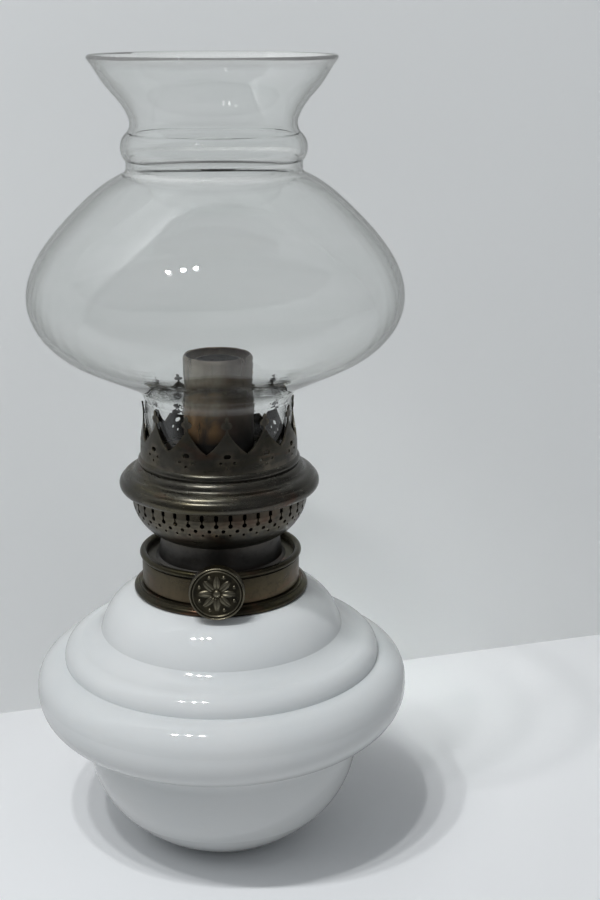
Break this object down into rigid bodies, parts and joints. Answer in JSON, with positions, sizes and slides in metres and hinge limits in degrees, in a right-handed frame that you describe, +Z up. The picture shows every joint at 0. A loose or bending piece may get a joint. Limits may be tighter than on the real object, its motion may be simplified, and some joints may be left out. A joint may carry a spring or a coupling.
{
  "type": "oil lamp",
  "caption": "Table oil lamp: white glass font, pierced brass burner with a wick knob, and a lift-off clear glass chimney.",
  "frame": {"origin": "centre of the font's foot, on the surface it stands on", "axes": "+Z up along the lamp's axis, -Y towards the wick knob, +X to the right seen from the knob"},
  "size_m": [0.139, 0.139, 0.2924],
  "materials": {
    "opal_glass": "white opal glass, glossy",
    "dark_brass": "dark brown patina, satin",
    "inner_brass": "dull aged brass",
    "tarnished_nickel": "tarnished nickel plate",
    "plaster": "matt plaster",
    "seal_leather": "matt",
    "wick_cotton": "woven cotton, charred top edge",
    "clear_glass": "clear, polished"
  },
  "bodies": {
    "font": {"font_glass": "opal_glass", "collar": "dark_brass", "collar_cement": "plaster"},
    "seal": {"burner_seal": "seal_leather"},
    "burner": {"burner_thread_ring": "inner_brass", "burner_drum": "dark_brass", "burner_throat": "dark_brass", "burner_floor": "inner_brass", "air_basket": "dark_brass", "gallery_flange": "dark_brass", "gallery_crown": "dark_brass", "gallery_floor": "inner_brass", "outer_wick_tube": "tarnished_nickel", "inner_air_tube": "inner_brass", "air_duct": "inner_brass", "raiser_housing": "inner_brass", "spindle_gland": "inner_brass"},
    "raiser": {"spindle": "inner_brass", "knob": "dark_brass", "wick_pinion": "inner_brass"},
    "wick": {"wick_rack": "inner_brass", "wick_carrier": "inner_brass", "wick": "wick_cotton", "wick_tail": "wick_cotton"},
    "chimney": {"chimney_glass": "clear_glass"}
  },
  "joints": [
    {"name": "burner_lift", "type": "slide", "parent": "font", "child": "seal", "axis": [0, 0, 1], "range_m": [0, 0.11]},
    {"name": "burner_unscrew", "type": "hinge", "parent": "seal", "child": "burner", "pos_m": [0, 0, 0.106], "axis": [0, 0, 1], "range_deg": [0, 720]},
    {"name": "knob_spin", "type": "hinge", "parent": "burner", "child": "raiser", "pos_m": [0, -0.035, 0.111], "axis": [0, 1, 0], "range_deg": [-95.6, 143.4]},
    {"name": "wick_raise", "type": "slide", "parent": "burner", "child": "wick", "axis": [0, 0, 1], "range_m": [-0.006, 0.009]},
    {"name": "chimney_lift", "type": "slide", "parent": "burner", "child": "chimney", "axis": [0, 0, 1], "range_m": [0, 0.06]}
  ],
  "couplings": [
    {"joint": "knob_spin", "follows": "wick_raise", "rad_per_m": 277.78}
  ]
}
